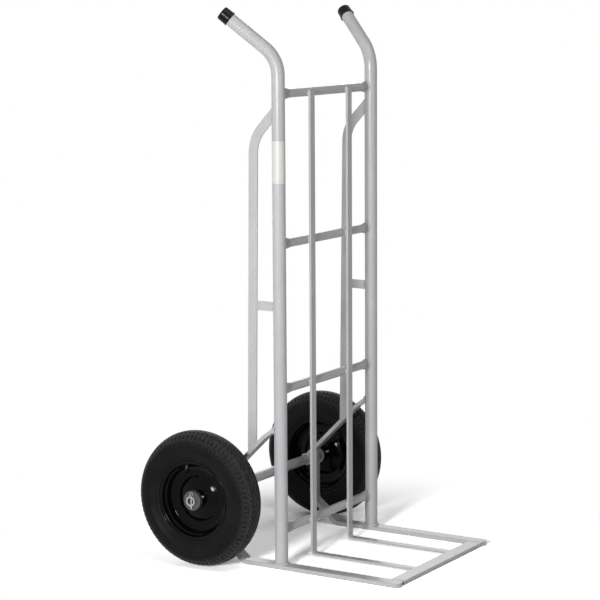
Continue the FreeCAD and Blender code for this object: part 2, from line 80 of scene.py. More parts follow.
class FrameSizes(bpy.types.PropertyGroup):
    """Sizes of the tubes and flat bars that the weld beads and caps follow."""
    upright_radius: FloatProperty(
        name="Upright radius", description="Outside radius of the uprights",
        default=0.016, unit="LENGTH")
    crossbar_radius: FloatProperty(
        name="Crossbar radius", description="Outside radius of the crossbars",
        default=0.011, unit="LENGTH")
    crossbar_setback: FloatProperty(
        name="Crossbar setback", description="Crossbars' centre line behind the uprights'",
        default=0.002, unit="LENGTH")
    crossbar_end_height: FloatProperty(
        name="Crossbar end height", description="Height of a crossbar's flattened end",
        default=0.030, unit="LENGTH")
    crossbar_end_depth: FloatProperty(
        name="Crossbar end depth", description="Depth of a crossbar's flattened end",
        default=0.010, unit="LENGTH")
    rail_thickness: FloatProperty(
        name="Rail thickness", description="Thickness of the toe rails",
        default=0.011, unit="LENGTH")
    strip_thickness: FloatProperty(
        name="Strip thickness", description="Thickness of the skid bars and their struts",
        default=0.004, unit="LENGTH")
    bend_height: FloatProperty(
        name="Handle bend height", description="Where the upright's line meets the handle's",
        default=1.239, unit="LENGTH")
    handle_length: FloatProperty(
        name="Handle length", description="From that meeting point to the cap's end",
        default=0.172, unit="LENGTH")
    handle_bend: FloatProperty(
        name="Handle bend", description="Lean of the handle back from vertical",
        default=math.radians(50.5), unit="ROTATION")
    handle_splay: FloatProperty(
        name="Handle splay", description="Turn of the handle outwards from straight back",
        default=math.radians(28.0), unit="ROTATION")


class WeldSizes(bpy.types.PropertyGroup):
    """Sizes of the painted weld beads."""
    bead_radius: FloatProperty(
        name="Bead radius", description="Radius of the main weld beads",
        default=0.0034, unit="LENGTH")
    tack_radius: FloatProperty(
        name="Tack radius", description="Radius of the beads on thin bars",
        default=0.0024, unit="LENGTH")
    ripple_pitch: FloatProperty(
        name="Ripple pitch", description="Distance between the ripples along a bead",
        default=0.0026, unit="LENGTH")
    ripple_depth: FloatProperty(
        name="Ripple depth", description="Ripple height as a share of the bead's radius",
        default=0.09, subtype="FACTOR")


class TyreSizes(bpy.types.PropertyGroup):
    """Sizes of the tyres and their tread."""
    pitches: IntProperty(
        name="Tread pitches", description="Repeats of the tread around the tyre", default=80)
    groove_depth: FloatProperty(
        name="Groove depth", description="Depth of the zigzag grooves",
        default=0.0042, unit="LENGTH")
    notch_depth: FloatProperty(
        name="Notch depth", description="Depth of the notches in the shoulder blocks",
        default=0.0050, unit="LENGTH")
    zigzag: FloatProperty(
        name="Zigzag", description="Sideways swing of the grooves",
        default=0.0026, unit="LENGTH")
    rib_height: FloatProperty(
        name="Shoulder rib height", description="Height of the fine ribs under the shoulder",
        default=0.0009, unit="LENGTH")
    wall: FloatProperty(
        name="Wall", description="Thickness of the tyre's wall", default=0.007, unit="LENGTH")


class RimSizes(bpy.types.PropertyGroup):
    """Sizes of the pressed rims."""
    sheet: FloatProperty(
        name="Sheet", description="Thickness of the pressed steel", default=0.0024, unit="LENGTH")
    segments: IntProperty(
        name="Segments", description="Facets around the rims and caps", default=160)


class Finishes(bpy.types.PropertyGroup):
    """Colours as sRGB hex values."""
    powder_coat: StringProperty(
        name="Powder coat", description="Silver-grey coat on the frame", default="#B3B3B5")
    zinc: StringProperty(
        name="Zinc plate", description="Plated axle, washers and pins", default="#A4A5A7")
    phosphate: StringProperty(
        name="Phosphate", description="Phosphated washers over the hubs", default="#4A4B4D")
    rubber: StringProperty(
        name="Tyre rubber", description="Tyres", default="#0B0B0B")
    # Dust and a painted sheen: this lighter grey also stands in for the highlight on the tyres'
    # shoulders.
    shoulder_dust_and_sheen: StringProperty(
        name="Shoulder dust", description="Dust and scuffs on the tyres' shoulders",
        default="#3C3C3C")
    rubber_dust: StringProperty(
        name="Rubber bloom", description="Greyer bloom on the tyres", default="#151515")
    enamel: StringProperty(
        name="Enamel", description="Black enamel on the rims and hubs", default="#050506")
    vinyl: StringProperty(
        name="Cap vinyl", description="Dipped vinyl of the handle caps", default="#070708")
    butyl: StringProperty(
        name="Butyl rubber", description="Valve stems and inner tubes", default="#2E2E2F")
    film: StringProperty(
        name="Label film", description="Bare label on the left upright", default="#CFCFCC")


class StageSettings(bpy.types.PropertyGroup):
    """Lamps, floor and camera."""
    key_energy: FloatProperty(
        name="Key lamp", description="Power of the soft lamp at the left", default=236.0)
    top_energy: FloatProperty(
        name="Top lamp", description="Power of the large lamp overhead", default=26.0)
    fill_energy: FloatProperty(
        name="Fill lamp", description="Power of the large lamp behind the truck", default=38.0)
    world_level: FloatProperty(
        name="Surroundings", description="Level of the even light all round", default=0.12)
    floor_gain: FloatProperty(
        name="Floor gain", description="Floor's paleness where it is seen, 1 being plain white",
        default=2.45)
    floor_radius: FloatProperty(
        name="Floor radius", description="Radius of the round floor", default=14.0, unit="LENGTH")
    lens: FloatProperty(
        name="Lens", description="Focal length in millimetres", default=127.13)
    camera_place_x: FloatProperty(
        name="Camera X", description="Camera's place along X", default=-4.4785, unit="LENGTH")
    camera_place_y: FloatProperty(
        name="Camera Y", description="Camera's place along Y", default=-2.6947, unit="LENGTH")
    camera_place_z: FloatProperty(
        name="Camera Z", description="Camera's height", default=1.4033, unit="LENGTH")
    camera_turn: FloatProperty(
        name="Camera turn", description="Turn about the vertical",
        default=math.radians(-58.33), unit="ROTATION")
    camera_dip: FloatProperty(
        name="Camera dip", description="Angle below the horizon",
        default=math.radians(8.377), unit="ROTATION")
    camera_roll: FloatProperty(
        name="Camera roll", description="Roll about the view line",
        default=math.radians(-0.358), unit="ROTATION")


class TruckSettings(bpy.types.PropertyGroup):
    """All settings of the hand truck."""
    frame_sizes: PointerProperty(type=FrameSizes)
    welds: PointerProperty(type=WeldSizes)
    tyres: PointerProperty(type=TyreSizes)
    rims: PointerProperty(type=RimSizes)
    finishes: PointerProperty(type=Finishes)
    stage: PointerProperty(type=StageSettings)


def settings():
    """The scene's hand truck settings."""
    return bpy.context.scene.hand_truck


# ---- colour and nodes ----

def linear(code):
    """Linear RGBA of an sRGB hex value."""
    parts = [int(code[i:i + 2], 16) / 255 for i in (1, 3, 5)]
    return tuple(p / 12.92 if p <= 0.04045 else ((p + 0.055) / 1.055) ** 2.4 for p in parts) + (1.0,)


def add_node(tree, kind, sockets=None, links=None, **attributes):
    """One node with its attributes, its sockets' values, and links from other nodes' outputs."""
    node = tree.nodes.new(kind)
    for name, value in attributes.items():
        setattr(node, name, value)
    for name, value in (sockets or {}).items():
        node.inputs[name].default_value = value
    for name, source in (links or {}).items():
        tree.links.new(source, node.inputs[name])
    return node


def new_material(name):
    """Empty node material: its tree and the texture coordinate node's output."""
    material = bpy.data.materials.new(name)
    material.use_nodes = True
    tree = material.node_tree
    tree.nodes.clear()
    place = add_node(tree, "ShaderNodeTexCoord").outputs["Object"]
    return material, tree, place


def per_metre(millimetres):
    """Texture scale at which one repeat is as long as given."""
    return 1000.0 / millimetres


def noise(tree, place, size_mm, detail=2.0, roughness=0.5):
    """Even noise whose lumps are as large as given."""
    return add_node(tree, "ShaderNodeTexNoise", {"Scale": per_metre(size_mm), "Detail": detail,
                                                 "Roughness": roughness}, {"Vector": place})


def spread(tree, source, low, high):
    """Noise stretched from its middle range to the range given."""
    node = add_node(tree, "ShaderNodeMapRange", {"From Min": 0.3, "From Max": 0.7, "To Min": low,
                                                 "To Max": high}, {"Value": source})
    return node.outputs["Result"]


def mixed(tree, factor, first, second):
    """Mix of two colours, each a hex value."""
    node = add_node(tree, "ShaderNodeMix", links={"Factor": factor}, data_type="RGBA")
    node.inputs["A"].default_value = linear(first)
    node.inputs["B"].default_value = linear(second)
    return node.outputs["Result"]


def shaded(hexcode, change):
    """Hex value made lighter or darker by the given share."""
    parts = [int(hexcode[i:i + 2], 16) for i in (1, 3, 5)]
    return "#" + "".join(f"{max(0, min(255, round(p * (1 + change)))):02X}" for p in parts)


def finish_surface(tree, sockets, links):
    """Principled shader on the material's output."""
    shader = add_node(tree, "ShaderNodeBsdfPrincipled", sockets, links)
    add_node(tree, "ShaderNodeOutputMaterial", links={"Surface": shader.outputs["BSDF"]})


def bump(tree, height, strength, distance_mm):
    """Bump from a height, as deep as given."""
    node = add_node(tree, "ShaderNodeBump", {"Strength": strength, "Distance": distance_mm / 1000},
                    {"Height": height})
    return node.outputs["Normal"]


# ---- materials ----

def make_powder_coat(colours):
    """Polyester powder coat, sprayed and baked on steel."""
    material, tree, place = new_material("silver_powder_coat")
    # Lumps of about 90 mm: the coat's thickness varies a little from one pass to the next.
    patches = noise(tree, place, 90.0)
    colour = mixed(tree, spread(tree, patches.outputs["Fac"], 0.0, 1.0),
                   shaded(colours.powder_coat, -0.018), shaded(colours.powder_coat, 0.018))
    # Orange peel is 0.8 mm across; it is drawn at 12 mm so that it stays even from further away.
    peel = noise(tree, place, 12.0, 0.0)
    rough = spread(tree, patches.outputs["Fac"], 0.22, 0.28)
    finish_surface(tree, {"Metallic": 0.0, "IOR": 1.5, "Specular IOR Level": 0.4},
                   {"Base Color": colour, "Roughness": rough,
                    "Normal": bump(tree, peel.outputs["Fac"], 0.2, 0.1)})
    return material


def make_zinc_plate(colours):
    """Bright zinc plate on turned steel, gone slightly dull."""
    material, tree, place = new_material("zinc_plated_steel")
    clouds = noise(tree, place, 14.0, 4.0)
    colour = mixed(tree, spread(tree, clouds.outputs["Fac"], 0.0, 1.0),
                   shaded(colours.zinc, -0.04), shaded(colours.zinc, 0.03))
    # Turning marks are 0.1 mm apart; 1 mm grain stands for them and widens the highlight.
    grain = noise(tree, place, 1.0, 2.0)
    rough = spread(tree, clouds.outputs["Fac"], 0.38, 0.55)
    finish_surface(tree, {"Metallic": 0.85},
                   {"Base Color": colour, "Roughness": rough,
                    "Normal": bump(tree, grain.outputs["Fac"], 0.2, 0.05)})
    return material


def make_phosphate(colours):
    """Grey phosphate coat on turned steel, oiled."""
    material, tree, place = new_material("phosphated_steel")
    clouds = noise(tree, place, 7.0, 4.0)
    colour = mixed(tree, spread(tree, clouds.outputs["Fac"], 0.0, 1.0),
                   shaded(colours.phosphate, -0.08), shaded(colours.phosphate, 0.08))
    rough = spread(tree, clouds.outputs["Fac"], 0.4, 0.55)
    finish_surface(tree, {"Metallic": 0.3, "Specular IOR Level": 0.3},
                   {"Base Color": colour, "Roughness": rough})
    return material


def make_tyre_rubber(colours):
    """Moulded carbon-black rubber with a grey bloom, and dust with a painted sheen on the shoulders and
    tread.
    """
    material, tree, place = new_material("tyre_rubber")
    clouds = noise(tree, place, 38.0, 5.0, 0.6)
    plain = mixed(tree, spread(tree, clouds.outputs["Fac"], 0.0, 1.0),
                  colours.rubber, colours.rubber_dust)
    # Distance from the axle: the dust and painted sheen, a lighter grey that stands in for the
    # shoulders' highlight, start 142 mm out and are full where the tread begins.
    axes = add_node(tree, "ShaderNodeVectorMath", {1: (0.0, 1.0, 1.0)}, {0: place},
                    operation="MULTIPLY")
    reach = add_node(tree, "ShaderNodeVectorMath", links={0: axes.outputs[0]}, operation="LENGTH")
    shoulder = add_node(tree, "ShaderNodeMapRange", {"From Min": 0.142, "From Max": 0.156},
                        {"Value": reach.outputs["Value"]})
    # Scuffs are about 5 mm long, each one cut up by the grain; they break the painted sheen into
    # streaks.
    scuffs = noise(tree, place, 5.0, 4.0, 0.65)
    dust_and_sheen_mask = add_node(tree, "ShaderNodeMath", operation="MULTIPLY",
                     links={0: shoulder.outputs["Result"],
                            1: spread(tree, scuffs.outputs["Fac"], 0.1, 1.0)})
    colour = add_node(tree, "ShaderNodeMix", links={"Factor": dust_and_sheen_mask.outputs[0]}, data_type="RGBA")
    tree.links.new(plain, colour.inputs["A"])
    # Painted sheen and dust: the shoulders and tread are made a lighter grey all round.
    colour.inputs["B"].default_value = linear(colours.shoulder_dust_and_sheen)
    # The mould's spark-eroded skin is 0.3 mm coarse; 1.6 mm grain shows as the same dull sheen.
    grain = noise(tree, place, 1.6, 3.0)
    rough = spread(tree, clouds.outputs["Fac"], 0.42, 0.56)
    finish_surface(tree, {"Specular IOR Level": 0.065, "Sheen Weight": 0.03, "Sheen Roughness": 0.4},
                   {"Base Color": colour.outputs["Result"], "Roughness": rough,
                    "Normal": bump(tree, grain.outputs["Fac"], 0.25, 0.15)})
    return material


def make_enamel(colours):
    """Stoved black enamel on pressed steel: deep, wet gloss."""
    material, tree, place = new_material("black_stove_enamel")
    # The sheet keeps soft press waves about 40 mm long, which bend the reflections.
    waves = noise(tree, place, 40.0, 1.0)
    dust = noise(tree, place, 8.0, 3.0)
    rough = spread(tree, dust.outputs["Fac"], 0.07, 0.13)
    colour = mixed(tree, spread(tree, dust.outputs["Fac"], 0.0, 1.0),
                   colours.enamel, shaded(colours.enamel, 0.3))
    finish_surface(tree, {"IOR": 1.5, "Specular IOR Level": 0.075},
                   {"Base Color": colour, "Roughness": rough,
                    "Normal": bump(tree, waves.outputs["Fac"], 0.1, 0.5)})
    return material


def make_vinyl(colours):
    """Dipped black vinyl: smooth and glossy with slight sags."""
    material, tree, place = new_material("dipped_vinyl")
    sags = noise(tree, place, 9.0, 2.0)
    rough = spread(tree, sags.outputs["Fac"], 0.2, 0.3)
    colour = mixed(tree, spread(tree, sags.outputs["Fac"], 0.0, 1.0),
                   colours.vinyl, shaded(colours.vinyl, 0.35))
    finish_surface(tree, {"IOR": 1.5, "Specular IOR Level": 0.15},
                   {"Base Color": colour, "Roughness": rough,
                    "Normal": bump(tree, sags.outputs["Fac"], 0.25, 0.3)})
    return material


def make_butyl(colours):
    """Moulded butyl rubber, smooth and slightly shiny."""
    material, tree, place = new_material("butyl_rubber")
    clouds = noise(tree, place, 6.0, 3.0)
    rough = spread(tree, clouds.outputs["Fac"], 0.35, 0.5)
    colour = mixed(tree, spread(tree, clouds.outputs["Fac"], 0.0, 1.0),
                   colours.butyl, shaded(colours.butyl, 0.25))
    finish_surface(tree, {"IOR": 1.5}, {"Base Color": colour, "Roughness": rough})
    return material


def make_film(colours):
    """Coated vinyl film of a bare label."""
    material, tree, place = new_material("label_film")
    # Trapped air and the tube's peel lift the film in 5 mm ripples.
    ripples = noise(tree, place, 5.0, 2.0)
    rough = spread(tree, ripples.outputs["Fac"], 0.28, 0.38)
    colour = mixed(tree, spread(tree, ripples.outputs["Fac"], 0.0, 1.0),
                   shaded(colours.film, -0.02), colours.film)
    finish_surface(tree, {"IOR": 1.48}, {"Base Color": colour, "Roughness": rough,
                                         "Normal": bump(tree, ripples.outputs["Fac"], 0.1, 0.1)})
    return material


MAKERS = {
    "silver_paint": make_powder_coat,
    "zinc_plate": make_zinc_plate,
    "phosphate": make_phosphate,
    "tyre_rubber": make_tyre_rubber,
    "black_enamel": make_enamel,
    "cap_plastic": make_vinyl,
    "tube_rubber": make_butyl,
    "label_film": make_film,
}
MATERIALS = {}


def material_for(slot):
    """The one material made for a slot."""
    if slot not in MATERIALS:
        MATERIALS[slot] = MAKERS[slot](settings().finishes)
    return MATERIALS[slot]


# ---- mesh helpers ----

def arc_through(start, through, end, count):
    """Points along the flat arc through three points, ends included."""
    (ax, ay), (bx, by), (cx, cy) = start, through, end
    d = 2 * (ax * (by - cy) + bx * (cy - ay) + cx * (ay - by))
    a2, b2, c2 = ax * ax + ay * ay, bx * bx + by * by, cx * cx + cy * cy
    ux = (a2 * (by - cy) + b2 * (cy - ay) + c2 * (ay - by)) / d
    uy = (a2 * (cx - bx) + b2 * (ax - cx) + c2 * (bx - ax)) / d
    first, last = (math.atan2(y - uy, x - ux) for x, y in (start, end))
    radius = math.hypot(ax - ux, ay - uy)
    turn = (last - first + math.pi) % (2 * math.pi) - math.pi
    points = []
    for i in range(count + 1):
        angle = first + turn * i / count
        points.append((ux + radius * math.cos(angle), uy + radius * math.sin(angle)))
    return points


def rounded(points, radii, steps=5):
    """Flat open line with its inner corners rounded."""
    line = [points[0]]
    for i in range(1, len(points) - 1):
        here = Vector(points[i])
        before = (Vector(points[i - 1]) - here)
        after = (Vector(points[i + 1]) - here)
        turn = math.pi - before.angle(after)
        cut = min(radii[i - 1] * math.tan(turn / 2), before.length * 0.48, after.length * 0.48)
        start = here + before.normalized() * cut
        end = here + after.normalized() * cut
        for k in range(steps + 1):
            t = k / steps
            line.append(tuple(start * (1 - t) ** 2 + here * 2 * t * (1 - t) + end * t ** 2))
    line.append(points[-1])
    return line


def offset_line(points, distance):
    """Flat open line moved to its left by a distance."""
    moved = []
    for i, point in enumerate(points):
        before = Vector(points[max(i - 1, 0)])
        after = Vector(points[min(i + 1, len(points) - 1)])
        along = (after - before).normalized()
        moved.append((point[0] - along.y * distance, point[1] + along.x * distance))
    return moved


def mesh_object(name, bm, slot, sharp_degrees=35.0):
    """Object from a bmesh, smooth shaded except at its sharp edges."""
    bmesh.ops.recalc_face_normals(bm, faces=bm.faces)
    mesh = bpy.data.meshes.new(name)
    bm.to_mesh(mesh)
    bm.free()
    mesh.shade_smooth()
    mesh.set_sharp_from_angle(angle=math.radians(sharp_degrees))
    return object_for(name, mesh, slot)


def object_for(name, mesh, slot):
    """Object that shows a mesh in a slot's material."""
    if not mesh.materials:
        mesh.materials.append(material_for(slot))
    piece = bpy.data.objects.new(name, mesh)
    bpy.context.scene.collection.objects.link(piece)
    return piece


def close_rings(bm, rings, loop=True):
    """Faces between neighbouring closed rings of vertices, and back to the first ring."""
    count = len(rings)
    for i in range(count if loop else count - 1):
        one, two = rings[i], rings[(i + 1) % count]
        size = len(one)
        for j in range(size):
            bm.faces.new((one[j], one[(j + 1) % size], two[(j + 1) % size], two[j]))


def revolved(section, segments):
    """Closed section of (x, radius) points turned about the X axis."""
    bm = bmesh.new()
    rings = []
    for i in range(segments):
        angle = 2 * math.pi * i / segments
        c, s = math.cos(angle), math.sin(angle)
        rings.append([bm.verts.new((x, r * s, r * c)) for x, r in section])
    close_rings(bm, rings)
    return bm


RINGS_PER_RIPPLE = 4
BEAD_SIDES = 12


def bead(name, paths, radius, body=FRAME_BODY, closed=False):
    """Painted weld beads along the paths, rippled, with rounded ends."""
    sizes = settings().welds
    bm = bmesh.new()
    for path in paths:
        points = resample([Vector(p) for p in path], sizes.ripple_pitch / RINGS_PER_RIPPLE, closed)
        count = len(points)
        rings = []
        travelled = 0.0
        for i, point in enumerate(points):
            if closed:
                along = points[(i + 1) % count] - points[i - 1]
            else:
                along = points[min(i + 1, count - 1)] - points[max(i - 1, 0)]
            along.normalize()
            across = along.orthogonal().normalized()
            if rings:
                across = (last - along * last.dot(along)).normalized()
                travelled += (point - points[i - 1]).length
            last = across
            up = along.cross(across)
            phase = travelled / sizes.ripple_pitch * 2 * math.pi
            # The torch's hand wanders: one slow swell and one quicker.
            wobble = 0.06 * math.sin(travelled / 0.011 + 1.3) + 0.05 * math.sin(travelled / 0.0047)
            size = radius * (1 + sizes.ripple_depth * math.sin(phase) + wobble)
            if not closed:
                # Both ends round off over five rings.
                end = min(i, count - 1 - i) / 5
                size *= math.sqrt(min(1.0, 0.04 + end))
            ring = []
            for k in range(BEAD_SIDES):
                a = 2 * math.pi * k / BEAD_SIDES
                ring.append(bm.verts.new(point + (across * math.cos(a) + up * math.sin(a)) * size))
            rings.append(ring)
        if closed:
            align_last_ring(rings)
        close_rings(bm, rings, closed)
        if not closed:
            bm.faces.new(rings[0][::-1])
            bm.faces.new(rings[-1])
    piece = mesh_object(name, bm, "silver_paint", 60.0)
    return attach(piece, body)


def align_last_ring(rings):
    """Turns the rings of a closed bead little by little so that its two ends meet untwisted."""
    first, last = rings[0], rings[-1]
    size = len(first)
    best = min(range(size), key=lambda s: sum((first[k].co - last[(k + s) % size].co).length
                                              for k in range(size)))
    if best:
        rings[-1] = last[best:] + last[:best]
        for i in range(len(rings) - 1):
            shift = round(best * i / (len(rings) - 1)) % size
            rings[i] = rings[i][shift:] + rings[i][:shift]


def resample(points, step, closed):
    """Points evenly spaced along a line."""
    if closed:
        points = points + [points[0]]
    lengths = [(b - a).length for a, b in zip(points, points[1:])]
    total = sum(lengths)
    count = max(6, round(total / step))
    result = []
    index, used = 0, 0.0
    for i in range(count if closed else count + 1):
        target = total * i / count
        while index < len(lengths) - 1 and used + lengths[index] < target:
            used += lengths[index]
            index += 1
        share = (target - used) / lengths[index]
        result.append(points[index].lerp(points[index + 1], share))
    return result


# ---- places that several pieces share ----

def upright_line(side):
    """X and Y of one upright's centre line."""
    x = middle("toe_rail_right").x * side
    y = middle("crossbar_top").y - settings().frame_sizes.crossbar_setback
    return x, y


def wheel_centre(side_name):
    """Middle of one wheel, on the axle."""
    low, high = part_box(f"tyre_{side_name}")
    return (low + high) / 2


def node_tops(node, points, direction):
    """Where rays from the points first meet a node, going in one direction."""
    hits = []
    for point in points:
        found, place, _, _ = NODES[node].ray_cast(Vector(point), direction)
        if found:
            hits.append(place.copy())
    return hits


# ---- carried-over steel ----

def dress_node(name, slot):
    """Puts a slot's material on a node of the frame."""
    node = NODES[name]
    if node.material_slots:
        for holder in node.material_slots:
            holder.material = material_for(slot)
    else:
        node.data.materials.append(material_for(slot))


class TRUCK_OT_steelwork(bpy.types.Operator):
    """Finishes the frame's tubes, bars, axle and wheel fittings"""
    bl_idname = "hand_truck.steelwork"
    bl_label = "Steelwork and Fittings"

    def execute(self, context):
        for part in frame["record"]["subparts"]:
            dress_node(part["node"], part["material_slot"])
        return {"FINISHED"}


# ---- weld beads ----

# A bead's centre line stands this far off the surface that it runs along.
BEAD_LIFT = 0.0004
TACK_HALF_HEIGHT = 0.0075
BRACE_SEAM_HALF = 0.0122

def crossbar_bead_path(side, height):
    """Seam between a crossbar's oval end and an upright."""
    sizes = settings().frame_sizes
    x, y = upright_line(side)
    path = []
    for i in range(40):
        angle = 2 * math.pi * i / 40
        back = sizes.crossbar_setback + sizes.crossbar_end_depth / 2 * math.cos(angle)
        up = sizes.crossbar_end_height / 2 * math.sin(angle)
        out = math.sqrt(sizes.upright_radius ** 2 - back ** 2)
        path.append((x - side * out, y + back, height + up))
    return path


def foot_bead_path(side):
    """Seam round an upright's foot on the toe rail."""
    sizes = settings().frame_sizes
    x, y = upright_line(side)
    reach = sizes.upright_radius + BEAD_LIFT
    return [(x + reach * math.cos(2 * math.pi * i / 48), y + reach * math.sin(2 * math.pi * i / 48),
             sizes.rail_thickness + 0.0006) for i in range(48)]


def load_bar_paths(node, heights):
    """Short seams on both sides of a load bar at each crossbar, and one across its top end."""
    sizes = settings().frame_sizes
    low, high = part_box(node)
    y = middle("crossbar_top").y
    paths = []
    for height in heights:
        for x in (low.x, high.x):
            path = []
            for i in range(9):
                rise = TACK_HALF_HEIGHT * (i / 4 - 1)
                if height + rise < high.z:
                    front = y - math.sqrt(sizes.crossbar_radius ** 2 - rise ** 2)
                    path.append((x, front, height + rise))
            paths.append(path)
    rise = high.z - heights[-1]
    front = y - math.sqrt(sizes.crossbar_radius ** 2 - rise ** 2)
    paths.append([(low.x, front - 0.001, high.z), (middle(node).x, front - 0.0012, high.z + 0.0006),
                  (high.x, front - 0.001, high.z)])
    return paths


def brace_bead_paths(side_name, side):
    """Seams over and under a brace where it meets its upright."""
    sizes = settings().frame_sizes
    x, y = upright_line(side)
    node = f"brace_{side_name}"
    paths = []
    for start_z, direction in ((0.5, -Z_AXIS), (0.2, Z_AXIS)):
        points = []
        for i in range(13):
            across = BRACE_SEAM_HALF * (i / 6 - 1)
            back = math.sqrt(sizes.upright_radius ** 2 - across ** 2) + BEAD_LIFT
            points.append((x + across, y + back, start_z))
        hits = node_tops(node, points, direction)
        if len(hits) > 2:
            paths.append(hits)
    return paths


def skid_bead_paths(side_name, side):
    """Seams on both sides of a skid bar at its upright and at its brace."""
    sizes = settings().frame_sizes
    x, y = upright_line(side)
    half = sizes.strip_thickness / 2
    node = NODES[f"skid_bar_{side_name}"]
    near = [v.co for v in node.data.vertices
            if math.hypot(v.co.x - x, v.co.y - y) < sizes.upright_radius + 0.0012]
    low = min(p.z for p in near)
    high = max(p.z for p in near)
    back = y + math.sqrt(sizes.upright_radius ** 2 - half ** 2)
    paths = [[(x + s * half, back, low), (x + s * half, back, high)] for s in (-1, 1)]
    foot = [v.co for v in node.data.vertices if v.co.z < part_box(node.name)[0].z + 0.05]
    front = min(p.y for p in foot)
    rear = max(p.y for p in foot)
    for s in (-1, 1):
        tops = [(x + s * (half + 0.0003), front + (rear - front) * i / 8, 0.42) for i in range(9)]
        paths.append(node_tops(f"brace_{side_name}", tops, -Z_AXIS))
    return paths


def strut_bead_paths(side_name, side):
    """Seams on both sides of a strut at each of its ends."""
    sizes = settings().frame_sizes
    x, y = upright_line(side)
    half = sizes.strip_thickness / 2
    low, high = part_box(f"skid_strut_{side_name}")
    paths = []
    for s in (-1, 1):
        for end in (y + math.sqrt(sizes.upright_radius ** 2 - half ** 2), high.y):
            paths.append([(x + s * half, end, low.z + 0.001), (x + s * half, end, high.z - 0.001)])
    return paths


def blade_bead_paths():
    """Seams between the toe blade and the rails, and beside the load bars' toes."""
    low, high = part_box("toe_blade")
    rails = [[(x, low.y + 0.005, high.z - 0.0016), (x, high.y - 0.001, high.z - 0.0016)]
             for x in (low.x, high.x)]
    toes = []
    for side_name in SIDES:
        left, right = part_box(f"load_bar_{side_name}")
        for x in (left.x, right.x):
            toes.append([(x, high.y, low.z + 0.0025), (x, high.y, high.z - 0.0015)])
    return rails, toes


def axle_bead_path(side):
    """Seam round the axle on the inside of a toe rail."""
    low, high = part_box("toe_rail_right")
    centre = middle("axle")
    radius = (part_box("axle")[1].z - centre.z) + 0.0003
    x = side * (low.x - 0.0002)
    return [(x, centre.y + radius * math.cos(2 * math.pi * i / 40),
             centre.z + radius * math.sin(2 * math.pi * i / 40)) for i in range(40)]


class TRUCK_OT_welds(bpy.types.Operator):
    """Lays the painted weld beads on the frame's joints"""
    bl_idname = "hand_truck.welds"
    bl_label = "Weld Beads"

    def execute(self, context):
        sizes = settings().welds
        crossbars = ("crossbar_bottom", "crossbar_lower", "crossbar_upper", "crossbar_top")
        heights = [middle(name).z for name in crossbars]
        rails, toes = blade_bead_paths()
        for side_name, side in SIDES.items():
            seams = [crossbar_bead_path(side, height) for height in heights]
            bead(f"weld_crossbars_{side_name}", seams, sizes.bead_radius, closed=True)
            bead(f"weld_foot_{side_name}", [foot_bead_path(side)], sizes.bead_radius * 0.95, closed=True)
            bead(f"weld_axle_{side_name}", [axle_bead_path(side)], sizes.bead_radius, closed=True)
            bead(f"weld_load_bar_{side_name}", load_bar_paths(f"load_bar_{side_name}", heights),
                 sizes.tack_radius)
            bead(f"weld_brace_{side_name}", brace_bead_paths(side_name, side), sizes.bead_radius)
            bead(f"weld_skid_bar_{side_name}", skid_bead_paths(side_name, side), sizes.tack_radius)
            bead(f"weld_strut_{side_name}", strut_bead_paths(side_name, side), sizes.tack_radius)
        bead("weld_blade_ends", rails, sizes.tack_radius)
        bead("weld_toes", toes, sizes.tack_radius)
        return {"FINISHED"}


# ---- cupped washers ----

WASHER_SKIRT = 0.0085
WASHER_EDGE = 0.0012
SLIDING_FIT = 0.0002


class TRUCK_OT_cupped_washers(bpy.types.Operator):
    """Makes the cupped washers that cover the hubs' outer ends"""
    bl_idname = "hand_truck.cupped_washers"
    bl_label = "Cupped Washers"

    def execute(self, context):
        for side_name, side in SIDES.items():
            low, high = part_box(f"outer_washer_{side_name}")
            place = (low + high) / 2
            half, rim = (high.x - low.x) / 2, (high.z - low.z) / 2
            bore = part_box("axle")[1].z - middle("axle").z + SLIDING_FIT
            hub_low, hub_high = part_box(f"hub_{side_name}")
            sleeve = (hub_high.z - hub_low.z) / 2 + SLIDING_FIT * 1.5
            mouth = -half - WASHER_SKIRT
            outside = rounded([(half, bore), (half, rim), (mouth, rim)], [WASHER_EDGE])
            inside = [(mouth, sleeve), (-half, sleeve), (-half, bore)]
            section = [(side * x, r) for x, r in outside + inside]
            piece = mesh_object(f"cupped_washer_{side_name}",
                                revolved(section, settings().rims.segments), "zinc_plate", 40.0)
            # The slot is the flat washer's, but this washer's finish is darker than bright zinc.
            piece.data.materials[0] = material_for("phosphate")
            piece.location = place
            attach(piece, FRAME_BODY)
            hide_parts(f"outer_washer_{side_name}")
        return {"FINISHED"}


# ---- handle caps ----

CAP_LENGTH = 0.027
CAP_END_WALL = 0.003
CAP_FIT = 0.0001
# Points (distance along the cap, radius): the lip, then the tapering side.
CAP_SIDE = ((0.0, 0.0182), (0.0006, 0.0187), (0.0022, 0.0187), (0.0034, 0.0178), (0.014, 0.0175),
            (CAP_LENGTH - 0.0001, 0.0172), (CAP_LENGTH, 0.0))
CAP_RADII = (0.0005, 0.0006, 0.001, 0.01, 0.0048)
POLE = 0.0002


